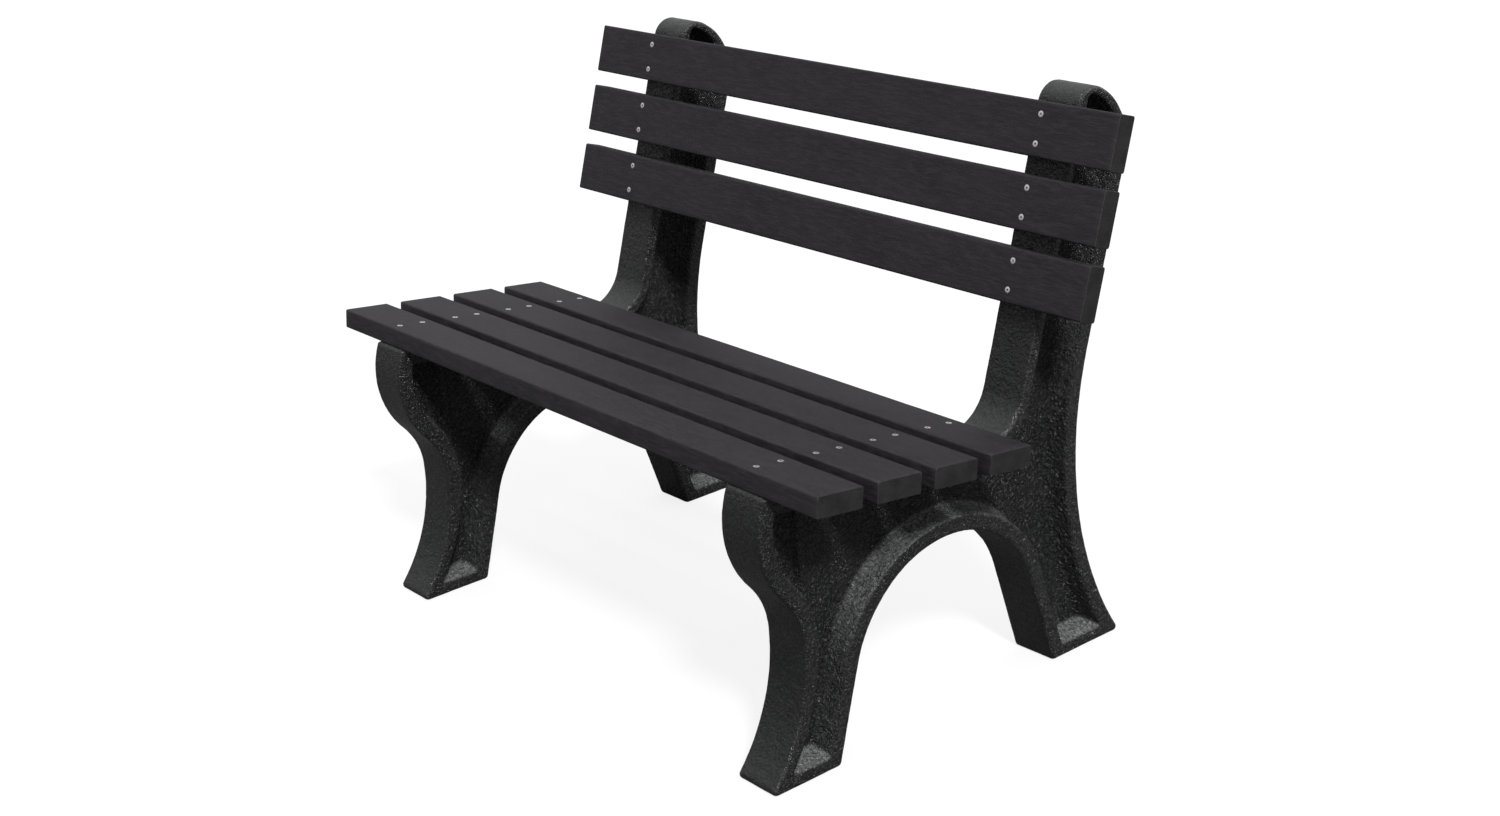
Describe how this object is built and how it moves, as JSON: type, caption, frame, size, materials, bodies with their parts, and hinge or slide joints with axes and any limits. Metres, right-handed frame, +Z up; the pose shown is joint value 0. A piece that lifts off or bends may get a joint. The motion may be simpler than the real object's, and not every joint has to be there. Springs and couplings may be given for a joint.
{
  "type": "park bench",
  "caption": "Slatted park bench with a leaning back, its planks screwed to two moulded end frames with arched legs.",
  "frame": {"origin": "on the ground, under the middle of the bench's length and depth", "axes": "+X along the bench to the right as seen from the front, +Y from the front of the seat to the back, +Z up"},
  "size_m": [1.219, 0.749, 0.8948],
  "materials": {
    "moulded_plastic": "charcoal black, moulded, satin with an orange-peel texture",
    "plank_plastic": "charcoal, extruded, matt with a fine brushed grain along the plank",
    "screw_steel": "stainless steel, satin"
  },
  "bodies": {
    "root": {"end_frame_left": "moulded_plastic", "end_frame_right": "moulded_plastic", "seat_slat_1": "plank_plastic", "seat_slat_2": "plank_plastic", "seat_slat_3": "plank_plastic", "seat_slat_4": "plank_plastic", "back_slat_bottom": "plank_plastic", "back_slat_middle": "plank_plastic", "back_slat_top": "plank_plastic", "seat_slat_1_screws_left": "screw_steel", "seat_slat_1_screws_right": "screw_steel", "seat_slat_2_screws_left": "screw_steel", "seat_slat_2_screws_right": "screw_steel", "seat_slat_3_screws_left": "screw_steel", "seat_slat_3_screws_right": "screw_steel", "seat_slat_4_screws_left": "screw_steel", "seat_slat_4_screws_right": "screw_steel", "back_slat_bottom_screws_left": "screw_steel", "back_slat_bottom_screws_right": "screw_steel", "back_slat_middle_screws_left": "screw_steel", "back_slat_middle_screws_right": "screw_steel", "back_slat_top_screws_left": "screw_steel", "back_slat_top_screws_right": "screw_steel"}
  },
  "joints": []
}
